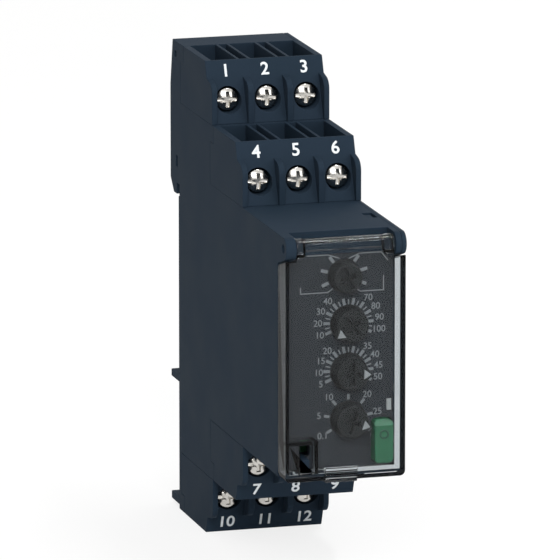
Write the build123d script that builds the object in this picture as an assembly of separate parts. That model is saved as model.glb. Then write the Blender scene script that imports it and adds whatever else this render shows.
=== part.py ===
from build123d import *
import os
from math import cos, radians, sin, tan

os.makedirs("parts", exist_ok=True)

# Voltage monitoring relay for a 35 mm mounting rail. X is across, Y points to the back, Z is up.
# The plane that rests on the rail is Y = 0, and Z = 0 is level with the middle of the rail.

# Stepped housing
body_width = 22.5
nose_half_height = 22.4
nose_reach = 67.9
step_height = 11.2
step_reach = 20.8
first_step_reach = 18.9
wall = 1.2
side_wall = 0.9
seat_wall = 1.8
fit = 0.1
overcut = 1.0
well_reach = 2.0
side_window_width = 1.3
upper_window_y = 1.3
upper_window_drop = 1.9
upper_window_height = 1.1
lower_window_y = 0.5
lower_window_rise = 3.45
lower_window_height = 2.1

# Hook and shelves that meet the mounting rail
rail_half_height = 17.5
rail_thickness = 1.0
rail_play = 0.3
lip_grip = 1.8
lip_depth = 5.7
lip_nose_depth = 3.3
lip_shoulder = 18.2
lip_lean_start = 36.0
lip_lean = 1.7
notch_depth = 0.6
shelf_gap = 1.3
shelf_thickness = 1.4
shelf_depth = 5.5
foot_thickness = 1.5
foot_rise = 0.8

# Terminal blocks, measured from the top front edge of each one
seam_upper = 15.1
seam_lower = 17.3
seam_step = 3.3
face_lean = 22.0
pole_count = 3
label_height = 3.1
rib_foot = 0.475
rib_drop = 3.9
rib_round = 2.2
inner_rib_width = 1.15
outer_rib_width = 1.05
pocket_width = 4.8
pocket_front = 0.45
pocket_depth = 4.0
slot_width = 1.5
slot_depth = 3.8

# Screw clamps, measured inwards from the point where the screw's axis meets the leaning face
screw_drop = 7.05
screw_hole_diameter = 4.9
screw_sink = 1.9
head_diameter = 4.2
head_height = 1.6
head_dome = 0.8
recess_width = 0.7
recess_length = 2.9
recess_depth = 1.0
slot_recess_length = 3.7
shank_diameter = 3.0
running_fit = 0.05
shoulder_depth = 3.6
shoulder_thickness = 1.2
bar_depth = 10.0
bar_thickness = 0.8
bar_width = 3.0
cage_width = 5.0
cage_length = 4.4
cage_wall = 0.7
cage_top = 1.6
cage_floor = 0.8
clamp_gap = 0.3
chamber_gap = 0.4
wire_gap = 3.5
tip_gap = 0.1
passage_width = 3.8
leg_width = 1.2

# Front frame and panel
frame_depth = 2.8
panel_thickness = 1.55
panel_top_gap = 4.35
panel_bottom_gap = 0.95
panel_ledge = 0.6

# Controls on the panel, measured inwards from the inner face of the right-hand wall
knob_inset = 8.45
lower_knob_rise = 8.95
knob_pointers = {"upper_knob": 145.0, "middle_knob": 3.0, "lower_knob": 18.0}
knob_diameter = 6.6
selector_inset = 9.3
selector_drop = 4.0
selector_diameter = 5.9
selector_pointer = 157.5
knob_proud = 3.0
knob_seat = 1.4
knob_draft = 5.0
knob_edge = 0.2
knob_slot_width = 0.8
knob_slot_length = 3.0
knob_cross_length = 4.2
knob_slot_depth = 0.9
beak_reach = 1.0
beak_width = 3.4
beak_depth = 1.5
pointer_length = 1.35
pointer_width = 1.85
pointer_inset = 0.35
pointer_depth = 0.3
stem_diameter = 3.0
stem_length = 4.0
pot_size = 6.6
pot_height = 4.0
switch_size = 7.6
button_inset = 0.45
button_width = 3.6
button_height = 8.0
button_rise = 0.75
button_proud = 2.0
button_corner = 0.9
button_edge = 0.35
button_slope = 1.0
button_fit = 0.12
button_travel = 0.6
flange_width = 0.5
flange_thickness = 0.8
flange_gap = 0.25
plunger_diameter = 2.4
plunger_gap = 0.1
tact_size = 4.2
tact_height = 1.6
tact_nub = 0.5
pipe_inset = 0.35
pipe_width = 0.9
pipe_height = 2.1
pipe_rise = 1.4
pipe_fit = 0.05
led_height = 1.1
led_inset = 0.4
led_gap = 0.3

# Clear cover, its hinge, its catch and its seal post
hinge_reach = 71.5
ear_radius = 2.1
ear_width = 2.0
ear_slope = 17.5
ear_gap = 0.3
pin_diameter = 1.5
pin_length = 1.65
cover_reach = 73.0
cover_thickness = 1.0
cover_side = 0.85
cover_bottom_wall = 1.2
cover_drop = 0.1
cover_gap = 0.1
cover_corner = 1.0
arm_gap = 0.15
arm_width = 1.7
barrel_radius = 1.7
seal_slot_inset = 2.75
seal_slot_width = 2.3
seal_slot_rise = 1.3
seal_slot_height = 5.3
post_inset = 3.35
post_width = 2.0
post_rise = 1.6
post_height = 1.7
post_reach = 70.1
post_eye = 1.1
socket_inset = 4.05
socket_width = 2.4
socket_height = 2.6
catch_thickness = 0.6
catch_inset = 6.25
catch_gap = 0.4
prong_height = 1.8
prong_reach = 1.1
prong_clear = 0.4
grip_inset = 7.35
grip_width = 6.0
grip_height = 2.6
grip_drop = 0.3
grip_proud = 0.45
grip_ridges = 3
grip_ridge = 0.22

# Hooks of the side cover, in slots in the top and bottom of the nose
hook_slot_inset = 0.35
hook_slot_width = 1.8
hook_slot_front = 59.3
hook_slot_length = 4.2
hook_thickness = 0.9
hook_nub = 1.0
hook_play = 0.3

# Boards
board_thickness = 1.6
board_z = 14.0
board_back = 3.0
board_front = 58.5
front_board_reach = 59.0
front_board_gap = 1.2
socket_floor = 1.0
guide_height = 0.9
guide_thickness = 0.8
front_guide_top = 10.0

# Parts on the boards
relay_length = 19.0
relay_width = 15.5
relay_height = 15.3
relay_back = 5.0
relay_gap = 3.0
relay_edge = 0.8
transformer_back = 22.0
core_length = 13.0
core_height = 11.0
core_width = 6.0
core_leg = 2.8
winding_width = 12.0
capacitor_diameter = 8.0
capacitor_length = 11.0
capacitor_back = 8.5
capacitor_spread = 4.8
capacitor_edge = 0.5
film_back = 40.0
film_length = 13.0
film_width = 6.0
film_height = 10.0
film_x = -5.5
film_edge = 0.5
varistor_diameter = 9.0
varistor_thickness = 3.6
varistor_x = 5.0
varistor_back = 46.5
varistor_gap = 0.5
varistor_edge = 1.0
varistor_foot = (1.0, 4.0, 2.0)
chip_size = 7.0
chip_thickness = 1.4
header_size = 2.5
header_length = 15.2

# Foot that locks on the rail
clip_width = 11.0
clip_thickness = 3.6
clip_back_gap = 0.3
clip_guide_gap = 0.3
clip_end_gap = 0.2
jaw_grip = 2.1
jaw_back_gap = 0.25
jaw_bevel = 1.2
clip_window_width = 3.8
clip_window_sill = 2.3
peg_inset = 4.6
peg_height = 1.5
peg_width = 2.8
spring_diameter = 3.0
spring_wire = 0.5
spring_turns = 7
spring_length = 14.0

half_width = body_width / 2
inner_side = half_width - side_wall
top = nose_half_height + 2 * step_height
face_slope = tan(radians(face_lean))
pole_pitch = body_width / pole_count
pole_places = [pole_pitch * (index - (pole_count - 1) / 2) for index in range(pole_count)]
shelf_top = -rail_half_height - shelf_gap
foot_bottom = -top + foot_rise
foot_top = foot_bottom + foot_thickness
clip_end = top - clip_end_gap
clip_window_bottom = clip_end - clip_window_sill
peg_z = clip_end - peg_inset
clip_window_top = peg_z - spring_length

cage_open_floor = bar_depth + bar_thickness + wire_gap
cage_open_top = bar_depth - clamp_gap - cage_top
chamber_depth = cage_open_floor + cage_floor + chamber_gap
chamber_half_length = cage_length / 2 + clamp_gap

panel_top = nose_half_height - panel_top_gap
panel_bottom = -nose_half_height + panel_bottom_gap
knob_x = inner_side - knob_inset
knob_front = -nose_reach - knob_proud
knob_back = -nose_reach + knob_seat
selector_x = inner_side - selector_inset
selector_z = panel_top - selector_drop
lower_knob_z = panel_bottom + lower_knob_rise
knob_pitch = (selector_z - lower_knob_z) / len(knob_pointers)
knob_heights = {name: selector_z - (index + 1) * knob_pitch for index, name in enumerate(knob_pointers)}
button_right = inner_side - button_inset
button_left = button_right - button_width
button_bottom = panel_bottom + button_rise
button_top = button_bottom + button_height
button_x = (button_left + button_right) / 2
button_z = (button_bottom + button_top) / 2
pipe_right = inner_side - pipe_inset
pipe_left = pipe_right - pipe_width
pipe_bottom = button_top + pipe_rise
pipe_top = pipe_bottom + pipe_height
board_face = -front_board_reach - board_thickness
tact_front = board_face - tact_height - tact_nub

hinge_z = nose_half_height - ear_radius
cover_bottom = -nose_half_height - cover_drop
seal_slot_left = -half_width + seal_slot_inset
seal_slot_right = seal_slot_left + seal_slot_width
seal_slot_bottom = -nose_half_height + seal_slot_rise
seal_slot_top = seal_slot_bottom + seal_slot_height
post_left = -half_width + post_inset
post_right = post_left + post_width
post_bottom = -nose_half_height + post_rise
post_top = post_bottom + post_height
socket_left = -half_width + socket_inset
socket_right = socket_left + socket_width
socket_top = post_top + socket_height
catch_right = -half_width + catch_inset
catch_top = seal_slot_top + catch_thickness
grip_left = -half_width + grip_inset
grip_right = grip_left + grip_width
hook_slot_right = inner_side - hook_slot_inset
hook_slot_left = hook_slot_right - hook_slot_width


def box_between(x_range, y_range, z_range):
    """Box that fills three ranges, each a low and a high value."""
    ranges = (x_range, y_range, z_range)
    middle = [(low + high) / 2 for low, high in ranges]
    return Pos(*middle) * Box(*[high - low for low, high in ranges])


def side_plate(points, x_range):
    """Solid across an X range whose side view is the closed outline of (Y, Z) points."""
    outline = Plane.YZ.offset(x_range[0]) * Polyline(*points, close=True)
    return extrude(make_face(outline), amount=x_range[1] - x_range[0], dir=(1, 0, 0))


def rod_along_x(x_range, y, z, diameter):
    """Round rod that lies along X."""
    middle = (x_range[0] + x_range[1]) / 2
    return Pos(middle, y, z) * Rot(0, 90, 0) * Cylinder(diameter / 2, x_range[1] - x_range[0])


def rod_along_y(x, y_range, z, diameter):
    """Round rod that lies along Y."""
    middle = (y_range[0] + y_range[1]) / 2
    return Pos(x, middle, z) * Rot(90, 0, 0) * Cylinder(diameter / 2, y_range[1] - y_range[0])


def step_location(row):
    """Place of the top front edge of a terminal block: row 0 is the rear step, row 1 the front one."""
    return Pos(0, -first_step_reach - row * step_reach, top - row * step_height)


def on_side(piece, side):
    """The piece as modelled for the upper half, or its mirror image below the rail."""
    return piece if side > 0 else mirror(piece, about=Plane.XY)


def step_points(side, inset, rows=(0, 1)):
    """Side outline of the steps, from the rear seam forwards, moved in by inset."""
    points = []
    for row in rows:
        corner_y = -first_step_reach - row * step_reach
        corner_z = top - row * step_height
        upper_y = corner_y + seam_upper + inset
        lower_y = corner_y + seam_lower + inset
        points.append((upper_y, side * (corner_z - inset)))
        points.append((upper_y, side * (corner_z - seam_step + inset)))
        points.append((lower_y, side * (corner_z - seam_step + inset)))
        points.append((lower_y, side * (corner_z - step_height - inset)))
    return points


def body_outline():
    """Side view of the whole case, from the notch under the rail lip round by the front."""
    lip_bottom = rail_half_height - lip_grip
    lip_mouth = rail_thickness + rail_play
    notch_top = rail_half_height + rail_play
    notch_bottom = lip_bottom - fit
    lip = [
        (0, notch_bottom),
        (-notch_depth, notch_bottom),
        (-notch_depth, notch_top),
        (lip_mouth, notch_top),
        (lip_mouth, lip_bottom),
        (lip_nose_depth, lip_bottom),
        (lip_depth, lip_shoulder),
        (lip_depth, lip_lean_start),
        (lip_depth - lip_lean, top),
    ]
    nose = [(-nose_reach, nose_half_height), (-nose_reach, -nose_half_height)]
    return lip + step_points(1, 0) + nose + step_points(-1, 0)[::-1] + [(0, -top)]


def cavity_outline():
    """Side view of the space inside, a wall's thickness in from the outline of the case."""
    cavity_front = -nose_reach + frame_depth
    back = [
        (-seat_wall, lip_shoulder + wall),
        (lip_depth - wall, lip_shoulder + wall),
        (lip_depth - wall, lip_lean_start),
        (lip_depth - wall - lip_lean, top - wall),
    ]
    front = [(cavity_front, nose_half_height - wall), (cavity_front, -nose_half_height + wall)]
    lower = step_points(-1, wall, rows=(1,))[::-1] + [(-seat_wall, -top + step_height + wall)]
    return back + step_points(1, wall) + front + lower


def ear_outline():
    """Side view of a hinge ear: round about the pin, with a lower edge that slopes to the nose."""
    slope_sin = sin(radians(ear_slope))
    slope_cos = cos(radians(ear_slope))
    touch_y = -hinge_reach - ear_radius * slope_sin
    touch_z = hinge_z - ear_radius * slope_cos
    root_z = touch_z + (touch_y + nose_reach) * tan(radians(ear_slope))
    web = Polyline(
        (-nose_reach, hinge_z + ear_radius),
        (-hinge_reach, hinge_z + ear_radius),
        (touch_y, touch_z),
        (-nose_reach, root_z),
        close=True,
    )
    return make_face(web) + Pos(-hinge_reach, hinge_z) * Circle(ear_radius)


def ear(x_range):
    """Solid of the ear outline across an X range."""
    outline = Plane.YZ.offset(x_range[0]) * ear_outline()
    return extrude(outline, amount=x_range[1] - x_range[0], dir=(1, 0, 0))


def rail_shelves(x_range):
    """Two shelves behind the seat plane that guide the foot."""
    upper = box_between(x_range, (0, shelf_depth), (shelf_top - shelf_thickness, shelf_top))
    lower = box_between(x_range, (0, shelf_depth), (foot_bottom, foot_top))
    return upper + lower


def board_guides(x_range):
    """Pairs of ribs on a side wall that hold the edges of the three boards."""
    ribs = []
    for side in (1, -1):
        for z_low in (board_z - fit - guide_thickness, board_z + board_thickness + fit):
            rib = box_between(x_range, (-board_front, -board_back), (z_low, z_low + guide_thickness))
            ribs.append(on_side(rib, side))
    board_front_face = -front_board_reach - board_thickness
    for y_low in (board_front_face - fit - guide_thickness, -front_board_reach + fit):
        y_range = (y_low, y_low + guide_thickness)
        ribs.append(box_between(x_range, y_range, (0, front_guide_top)))
    return ribs


def hook_slot(side):
    """Slot through the top or bottom of the nose that a hook of the side cover snaps into."""
    y_range = (-hook_slot_front, -hook_slot_front + hook_slot_length)
    z_range = (nose_half_height - wall - fit, nose_half_height + fit)
    return on_side(box_between((hook_slot_left, hook_slot_right), y_range, z_range), side)


def clip_passage():
    """Space that the foot slides in, through both shelves and a little way into the seat."""
    x_edge = clip_width / 2 + clip_guide_gap
    depth = clip_back_gap + clip_thickness + clip_guide_gap
    jaw_top = -rail_half_height + jaw_grip
    through = box_between((-x_edge, x_edge), (0, depth), (-top, jaw_top))
    relief = box_between((-x_edge, x_edge), (-notch_depth, 0), (shelf_top, jaw_top + clip_guide_gap))
    return through + relief


def side_windows():
    """Two small openings near the back of the left wall, over the catches of the mould."""
    upper_top = top - upper_window_drop
    lower_bottom = rail_half_height + lower_window_rise
    places = (
        (upper_window_y, upper_top - upper_window_height, upper_top),
        (lower_window_y, lower_bottom, lower_bottom + lower_window_height),
    )
    x_range = (-half_width - overcut, -inner_side + fit)
    return [box_between(x_range, (y, y + side_window_width), (low, high)) for y, low, high in places]


def make_housing():
    """Left wall, back, top, bottom and front frame in one moulding, open to the right."""
    cavity_front = -nose_reach + frame_depth
    shell = side_plate(body_outline(), (-half_width, inner_side))
    shell -= side_plate(cavity_outline(), (-inner_side, inner_side + overcut))
    for row in range(2):
        for side in (1, -1):
            floor_z = -step_height - wall
            well = box_between(
                (-inner_side, inner_side),
                (-well_reach, seam_lower - wall),
                (floor_z - fit, -step_height + fit),
            )
            shell -= on_side(step_location(row) * well, side)
    shell -= box_between(
        (-inner_side, half_width),
        (-nose_reach, -nose_reach + panel_thickness + fit),
        (panel_bottom - fit, panel_top + fit),
    )
    shell -= box_between(
        (-inner_side + panel_ledge, half_width),
        (-nose_reach, cavity_front),
        (panel_bottom + panel_ledge, panel_top - panel_ledge),
    )
    shell += rail_shelves((-half_width, inner_side))
    shell -= clip_passage()
    shell += box_between(
        (-peg_width / 2, peg_width / 2),
        (0, clip_back_gap + clip_thickness - clip_guide_gap),
        (-peg_z - peg_height, -peg_z),
    )
    shell += ear((-half_width, -half_width + ear_width))
    shell += ear((half_width - ear_width, inner_side))
    shell -= rod_along_x((-half_width, half_width), -hinge_reach, hinge_z, pin_diameter + 2 * running_fit)
    shell += box_between(
        (post_left, post_right), (-nose_reach, cavity_front), (-nose_half_height, post_top)
    )
    shell += box_between((post_left, post_right), (-post_reach, -nose_reach), (post_bottom, post_top))
    eye_z = (post_bottom + post_top) / 2
    eye_y = -(post_reach + nose_reach) / 2
    shell -= rod_along_x((post_left, post_right), eye_y, eye_z, post_eye)
    for rib in board_guides((-inner_side, -inner_side + guide_height)):
        shell += rib
    for window in side_windows():
        shell -= window
    for side in (1, -1):
        shell -= hook_slot(side)
    return shell


def make_side_cover():
    """Right-hand wall, with two hooks that catch in the nose and the ribs for the boards."""
    plate = side_plate(body_outline(), (inner_side, half_width))
    for row in range(2):
        for side in (1, -1):
            block = side_plate(block_outline(), (inner_side, half_width))
            plate -= on_side(step_location(row) * block, side)
    plate += rail_shelves((inner_side, half_width))
    plate += ear((inner_side, half_width))
    plate -= rod_along_x((inner_side, half_width), -hinge_reach, hinge_z, pin_diameter + 2 * running_fit)
    for rib in board_guides((inner_side - guide_height, inner_side)):
        plate += rib
    arm_top = nose_half_height - wall - fit
    y_range = (-hook_slot_front + hook_play, -hook_slot_front + hook_slot_length - hook_play)
    for side in (1, -1):
        arm = box_between(
            (hook_slot_left + hook_play, inner_side), y_range, (arm_top - hook_thickness, arm_top)
        )
        nub = box_between(
            (hook_slot_left + hook_play, hook_slot_right - hook_play), y_range, (arm_top, arm_top + hook_nub)
        )
        plate += on_side(arm + nub, side)
    return plate


def block_outline():
    """Side view of a terminal block without its ribs, from its top front edge."""
    return [
        (0, 0),
        (-step_height * face_slope, -step_height),
        (seam_lower, -step_height),
        (seam_lower, -seam_step),
        (seam_upper, -seam_step),
        (seam_upper, 0),
    ]


def rib_solid(x_range):
    """Rounded rib that stands forward of the leaning face between two screws."""
    start = (-label_height * face_slope, -label_height)
    heel = (-step_height * face_slope, -step_height)
    rib_front = heel[0] - rib_foot
    outline = Polyline(start, (rib_front, -rib_drop), (rib_front, -step_height), heel, close=True)
    face = make_face(outline)
    nose = face.vertices().sort_by(Axis.X)[:2].sort_by(Axis.Y)[-1]
    face = fillet(nose, rib_round)
    return extrude(Plane.YZ.offset(x_range[0]) * face, amount=x_range[1] - x_range[0], dir=(1, 0, 0))


def clamp_place(pole_x):
    """Place of one clamp: the point where its screw's axis meets the leaning face."""
    return Pos(pole_x, -screw_drop * face_slope, -screw_drop)


def clamp_box(pole_x, width, depth_range, height_range):
    """Box at a clamp, with its depth counted inwards and its height from the screw's axis."""
    return clamp_place(pole_x) * box_between((-width / 2, width / 2), depth_range, height_range)


def clamp_rod(pole_x, depth_range, diameter):
    """Round rod on a clamp's screw axis."""
    return clamp_place(pole_x) * rod_along_y(0, depth_range, 0, diameter)


def make_terminal_block():
    """Three-pole block: ribs, screw holes, wire pockets, slots between poles and clamp chambers."""
    block = side_plate(block_outline(), (-half_width, half_width))
    for side in (1, -1):
        edge = side * half_width
        inner = side * (half_width - outer_rib_width)
        block += rib_solid(sorted((edge, inner)))
    gaps = [(left + right) / 2 for left, right in zip(pole_places, pole_places[1:])]
    for gap_x in gaps:
        block += rib_solid((gap_x - inner_rib_width / 2, gap_x + inner_rib_width / 2))
        block -= box_between(
            (gap_x - slot_width / 2, gap_x + slot_width / 2),
            (pocket_front, seam_upper),
            (-slot_depth, overcut),
        )
    for pole_x in pole_places:
        block -= box_between(
            (pole_x - pocket_width / 2, pole_x + pocket_width / 2),
            (pocket_front, seam_upper),
            (-pocket_depth, overcut),
        )
        block -= clamp_rod(pole_x, (-shoulder_depth, shoulder_depth), screw_hole_diameter)
        neck_diameter = shank_diameter + 2 * running_fit
        block -= clamp_rod(pole_x, (0, shoulder_depth + shoulder_thickness + overcut), neck_diameter)
        block -= clamp_box(
            pole_x,
            cage_width + 2 * clamp_gap,
            (shoulder_depth + shoulder_thickness, chamber_depth),
            (-step_height, chamber_half_length),
        )
        block -= clamp_box(
            pole_x,
            passage_width,
            (bar_depth + bar_thickness - fit, cage_open_floor + fit),
            (0, screw_drop),
        )
    return block


def make_screw(pole_x):
    """Clamp screw with a domed head and a cross and slot recess."""
    rim_z = -screw_sink
    crown_z = rim_z + head_dome
    head_radius = head_diameter / 2
    dome_radius = (head_radius**2 + head_dome**2) / (2 * head_dome)
    shoulder_z = crown_z - dome_radius + (dome_radius**2 - (head_radius / 2) ** 2) ** 0.5
    profile = Polyline(
        (0, crown_z),
        (0, -bar_depth + tip_gap),
        (shank_diameter / 2, -bar_depth + tip_gap),
        (shank_diameter / 2, rim_z - head_height),
        (head_radius, rim_z - head_height),
        (head_radius, rim_z),
    )
    crown = ThreePointArc((head_radius, rim_z), (head_radius / 2, shoulder_z), (0, crown_z))
    body = revolve(Plane.XZ * make_face(profile + crown), axis=Axis.Z)
    for length, turn in ((recess_length, 90), (slot_recess_length, 0)):
        body -= Pos(0, 0, crown_z) * Rot(0, 0, turn) * Box(length, recess_width, 2 * recess_depth)
    return clamp_place(pole_x) * Rot(90, 0, 0) * body


def make_cage(pole_x):
    """Rising cage in its open place, with the screw's clearance hole in its top plate."""
    height_range = (-cage_length / 2, cage_length / 2)
    outer = clamp_box(pole_x, cage_width, (cage_open_top, cage_open_floor + cage_floor), height_range)
    inner_width = cage_width - 2 * cage_wall
    opening = clamp_box(pole_x, inner_width, (cage_open_top + cage_top, cage_open_floor), height_range)
    hole_range = (cage_open_top - cage_top, cage_open_top + 2 * cage_top)
    return outer - opening - clamp_rod(pole_x, hole_range, shank_diameter + 2 * running_fit)


def make_contact(pole_x, row):
    """Contact bar that hangs from the chamber's ceiling, runs through the cage and down to its board."""
    depth_range = (bar_depth, bar_depth + bar_thickness)
    bar = clamp_box(pole_x, bar_width, depth_range, (-chamber_half_length, chamber_half_length))
    board_level = board_z + board_thickness - top + row * step_height + screw_drop
    return bar + clamp_box(pole_x, leg_width, depth_range, (board_level, -chamber_half_length))


def make_front_panel():
    """Flat panel in the front frame, with holes for the controls, the window and the seal post."""
    panel = box_between(
        (-inner_side + fit, inner_side - fit),
        (-nose_reach, -nose_reach + panel_thickness),
        (panel_bottom, panel_top),
    )
    through = (-nose_reach - overcut, -nose_reach + panel_thickness + overcut)
    for height in knob_heights.values():
        panel -= rod_along_y(knob_x, through, height, knob_diameter + 2 * fit)
    panel -= rod_along_y(selector_x, through, selector_z, selector_diameter + 2 * fit)
    panel -= rounded_prism(
        (button_left - button_fit, button_right + button_fit),
        through,
        (button_bottom - button_fit, button_top + button_fit),
        button_corner,
    )
    panel -= box_between(
        (pipe_left - pipe_fit, pipe_right + pipe_fit),
        through,
        (pipe_bottom - pipe_fit, pipe_top + pipe_fit),
    )
    panel -= box_between((socket_left, socket_right), through, (post_top, socket_top))
    panel -= box_between((post_left - fit, post_right + fit), through, (panel_bottom, post_top + fit))
    return panel


def rounded_prism(x_range, y_range, z_range, corner):
    """Prism along Y whose front view is a rectangle with rounded corners."""
    width = x_range[1] - x_range[0]
    height = z_range[1] - z_range[0]
    front = Plane(origin=(0, y_range[1], 0), x_dir=(1, 0, 0), z_dir=(0, -1, 0))
    centre = Pos((x_range[0] + x_range[1]) / 2, (z_range[0] + z_range[1]) / 2)
    return extrude(front * centre * RectangleRounded(width, height, corner), amount=y_range[1] - y_range[0])


def arrow_head(tip, length, width):
    """Flat arrow head that points along X, with its tip at a given distance from the origin."""
    return make_face(Polyline((tip, 0), (tip - length, width / 2), (tip - length, -width / 2), close=True))


def make_knob(x, z, diameter, pointer_angle, beak=0):
    """Setting disc with a cross slot, a sunk pointer mark and a stem for its part on the board.

    The mark lies on a beak that reaches past the rim, or within the rim where the beak is 0.
    """
    top_radius = diameter / 2 - knob_proud * tan(radians(knob_draft)) - knob_edge
    profile = Polyline(
        (0, knob_front),
        (top_radius, knob_front),
        (top_radius + knob_edge, knob_front + knob_edge),
        (diameter / 2, -nose_reach),
        (diameter / 2, knob_back),
        (stem_diameter / 2, knob_back),
        (stem_diameter / 2, knob_back + stem_length),
        (0, knob_back + stem_length),
        close=True,
    )
    knob = Pos(x, 0, z) * revolve(make_face(profile), axis=Axis.Y)
    front = Plane(origin=(x, knob_front, z), x_dir=(1, 0, 0), z_dir=(0, -1, 0)) * Rot(0, 0, -pointer_angle)
    tip = top_radius + beak
    if beak:
        knob += extrude(front * arrow_head(tip, beak_width / 2, beak_width), amount=-beak_depth)
    for length, turn in ((knob_slot_length, 0), (knob_cross_length, 90)):
        cut = Box(length, 2 * knob_slot_depth, knob_slot_width)
        knob -= Pos(x, knob_front, z) * Rot(0, pointer_angle + turn, 0) * cut
    mark = front * arrow_head(tip - pointer_inset, pointer_length, pointer_width)
    return knob - extrude(mark, amount=-pointer_depth)


def make_test_button():
    """Push button with a rounded face, a flange behind the panel and a stem for the switch."""
    face_y = -nose_reach - button_proud
    flange_front = -nose_reach + panel_thickness + flange_gap
    flange_back = flange_front + flange_thickness
    button = rounded_prism(
        (button_left, button_right), (face_y, flange_back), (button_bottom, button_top), button_corner
    )
    slope = [
        (face_y, button_top - button_slope),
        (face_y + button_slope, button_top),
        (face_y, button_top),
    ]
    button = fillet(button.edges().group_by(Axis.Y)[0], button_edge)
    button -= side_plate(slope, (button_left, button_right))
    button += box_between(
        (button_left - flange_width, button_right),
        (flange_front, flange_back),
        (button_bottom + button_corner, button_top + flange_width),
    )
    stem_end = tact_front - plunger_gap - button_travel
    return button + rod_along_y(button_x, (flange_back, stem_end), button_z, plunger_diameter)


def make_front_cover():
    """Clear tray with a hinge roll at the top, a grip at the bottom, a seal slot and a catch."""
    rear = -nose_reach - cover_gap
    cover = box_between((-half_width, half_width), (-cover_reach, rear), (cover_bottom, hinge_z))
    lower_corners = cover.edges().filter_by(Axis.Y).group_by(Axis.Z)[0]
    cover = fillet(lower_corners, cover_corner)
    cover -= box_between(
        (-half_width + cover_side, half_width - cover_side),
        (-cover_reach + cover_thickness, rear),
        (cover_bottom + cover_bottom_wall, hinge_z),
    )
    slope_sin = sin(radians(ear_slope))
    slope_cos = cos(radians(ear_slope))
    clear = ear_radius + ear_gap
    edge_y = -hinge_reach - clear * slope_sin
    edge_z = hinge_z - clear * slope_cos
    run = 4 * ear_radius
    above_edge = [
        (edge_y - run, edge_z + run * tan(radians(ear_slope))),
        (edge_y + run, edge_z - run * tan(radians(ear_slope))),
        (edge_y + run, hinge_z + run),
        (edge_y - run, hinge_z + run),
    ]
    roll_edge = half_width - ear_width - arm_gap
    for side in (1, -1):
        x_range = sorted((side * roll_edge, side * half_width))
        cover -= side_plate(above_edge, x_range)
    roll = rod_along_x((-roll_edge, roll_edge), -hinge_reach, hinge_z, 2 * barrel_radius)
    roll_inner = roll_edge - arm_width
    hollow = rod_along_x(
        (-roll_inner, roll_inner), -hinge_reach, hinge_z, 2 * (barrel_radius - cover_thickness)
    )
    behind = box_between(
        (-roll_inner, roll_inner),
        (-hinge_reach, -hinge_reach + 2 * barrel_radius),
        (hinge_z - 2 * barrel_radius, hinge_z + 2 * barrel_radius),
    )
    under = box_between(
        (-roll_inner, roll_inner),
        (-cover_reach + cover_thickness, -hinge_reach + barrel_radius),
        (hinge_z - 2 * barrel_radius, hinge_z),
    )
    cover += roll
    cover -= hollow + behind + under
    for side in (1, -1):
        x_range = sorted((side * roll_edge, side * (roll_edge + pin_length)))
        cover += rod_along_x(x_range, -hinge_reach, hinge_z, pin_diameter)
    cover += box_between(
        (grip_left, grip_right),
        (-cover_reach - grip_proud, -cover_reach + cover_thickness / 2),
        (cover_bottom - grip_drop, cover_bottom - grip_drop + grip_height),
    )
    ridge_pitch = grip_height / (grip_ridges + 1)
    for index in range(grip_ridges):
        ridge_z = cover_bottom - grip_drop + (index + 1) * ridge_pitch
        ridge = rod_along_x((grip_left, grip_right), -cover_reach - grip_proud, ridge_z, 2 * grip_ridge)
        cover += ridge
    cover -= box_between(
        (seal_slot_left, seal_slot_right),
        (-cover_reach - overcut, -cover_reach + cover_thickness + overcut),
        (seal_slot_bottom, seal_slot_top),
    )
    inside_range = (-cover_reach + cover_thickness / 2, -nose_reach - catch_gap)
    cover += box_between(
        (-half_width + cover_side / 2, catch_right), inside_range, (catch_top - catch_thickness, catch_top)
    )
    catch_range = (catch_right - catch_thickness, catch_right)
    cover += box_between(catch_range, inside_range, (cover_bottom + cover_bottom_wall / 2, catch_top))
    prong_top = socket_top - prong_clear
    prong_end = -nose_reach + prong_reach
    return cover + box_between(
        catch_range, (inside_range[0], prong_end), (prong_top - prong_height, prong_top)
    )


def make_din_clip():
    """Sliding foot: jaw behind the rail, window for the spring and an eye for a screwdriver."""
    x_range = (-clip_width / 2, clip_width / 2)
    back = clip_back_gap + clip_thickness
    jaw_top = -rail_half_height + jaw_grip
    shoulder = -rail_half_height - rail_play
    jaw_front = rail_thickness + jaw_back_gap
    outline = [
        (clip_back_gap, -clip_end),
        (clip_back_gap, shoulder),
        (jaw_front, shoulder),
        (jaw_front, jaw_top),
        (back - jaw_bevel, jaw_top),
        (back, jaw_top - jaw_bevel),
        (back, -clip_end),
    ]
    clip = side_plate(outline, x_range)
    clip -= box_between(
        (-clip_window_width / 2, clip_window_width / 2),
        (0, back + overcut),
        (-clip_window_bottom, -clip_window_top),
    )
    return clip


def make_clip_spring():
    """Compression spring between the housing's peg and the top of the window in the foot."""
    length = spring_length - spring_wire
    coil = Helix(pitch=length / spring_turns, height=length, radius=(spring_diameter - spring_wire) / 2)
    section = Plane(origin=coil @ 0, z_dir=coil % 0) * Rectangle(spring_wire, spring_wire)
    spring = sweep(section, path=coil)
    spring_y = clip_back_gap + clip_thickness / 2
    return Pos(0, spring_y, -peg_z + spring_wire / 2) * spring


def make_board(side):
    """Flat board across the housing, above or below the middle."""
    board = box_between(
        (-inner_side + fit, inner_side - fit),
        (-board_front, -board_back),
        (board_z, board_z + board_thickness),
    )
    return on_side(board, side)


def make_front_board():
    """Upright board behind the panel."""
    half_height = nose_half_height - wall - front_board_gap
    return box_between(
        (-inner_side + fit, inner_side - fit),
        (board_face, -front_board_reach),
        (-half_height, half_height),
    )


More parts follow.
